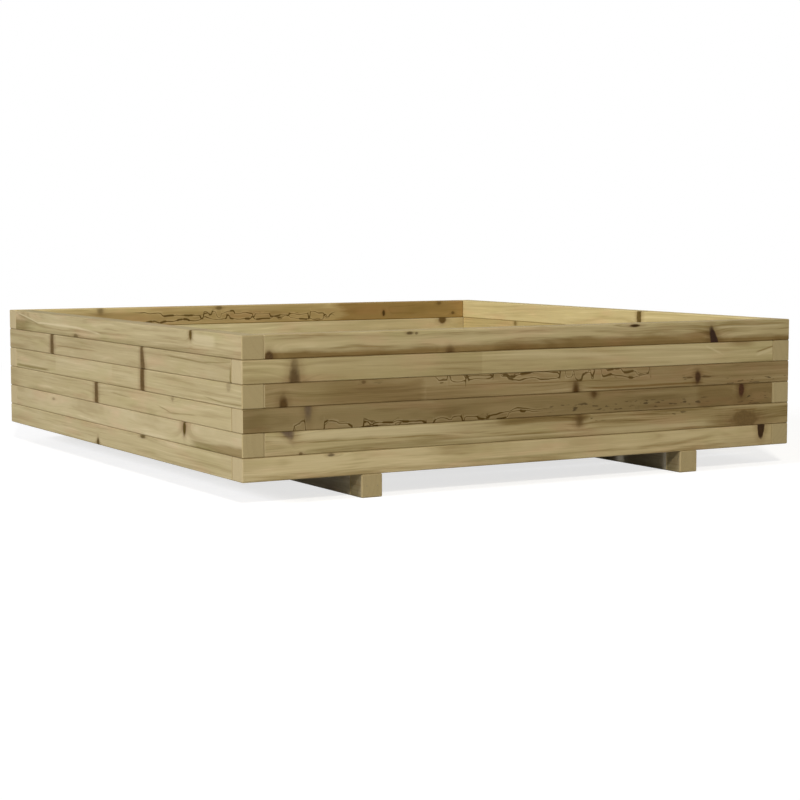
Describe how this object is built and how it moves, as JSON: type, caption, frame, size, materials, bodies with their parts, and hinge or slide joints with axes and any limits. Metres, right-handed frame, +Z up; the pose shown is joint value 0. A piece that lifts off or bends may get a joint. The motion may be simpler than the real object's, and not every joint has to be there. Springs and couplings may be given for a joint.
{
  "type": "planter",
  "caption": "Square low garden planter of stacked square timber battens with corners lapped in turn, a slatted floor and two ground bearers.",
  "frame": {"origin": "on the ground under the middle of the planter", "axes": "+Z up, +X to the right along the front wall, +Y from the front wall to the back wall"},
  "size_m": [1.1, 1.1, 0.266],
  "materials": {
    "wall_timber": "planed softwood with a pale green-brown pressure treatment, eased edges, knots and flat-sawn grain",
    "foot_timber": "planed softwood with a pale green-brown pressure treatment",
    "floor_timber": "planed softwood boards with a pale green-brown pressure treatment",
    "zinc_steel": "zinc plated steel"
  },
  "bodies": {
    "root": {"back_batten_1": "wall_timber", "back_batten_2": "wall_timber", "back_batten_3": "wall_timber", "back_batten_4": "wall_timber", "back_batten_5": "wall_timber", "back_batten_6": "wall_timber", "back_left_foot_block": "foot_timber", "back_right_foot_block": "foot_timber", "corner_brads": "zinc_steel", "floor_slat_1": "floor_timber", "floor_slat_2": "floor_timber", "floor_slat_3": "floor_timber", "floor_slat_4": "floor_timber", "floor_slat_5": "floor_timber", "floor_slat_6": "floor_timber", "floor_slat_7": "floor_timber", "floor_slat_8": "floor_timber", "foot_brads": "zinc_steel", "foot_screws": "zinc_steel", "front_batten_1": "wall_timber", "front_batten_2": "wall_timber", "front_batten_3": "wall_timber", "front_batten_4": "wall_timber", "front_batten_5": "wall_timber", "front_batten_6": "wall_timber", "front_left_foot_block": "foot_timber", "front_right_foot_block": "foot_timber", "left_batten_1": "wall_timber", "left_batten_2": "wall_timber", "left_batten_3": "wall_timber", "left_batten_4": "wall_timber", "left_batten_5": "wall_timber", "left_batten_6": "wall_timber", "left_bearer": "foot_timber", "right_batten_1": "wall_timber", "right_batten_2": "wall_timber", "right_batten_3": "wall_timber", "right_batten_4": "wall_timber", "right_batten_5": "wall_timber", "right_batten_6": "wall_timber", "right_bearer": "foot_timber", "slat_brads": "zinc_steel", "wall_brads": "zinc_steel"}
  },
  "joints": []
}
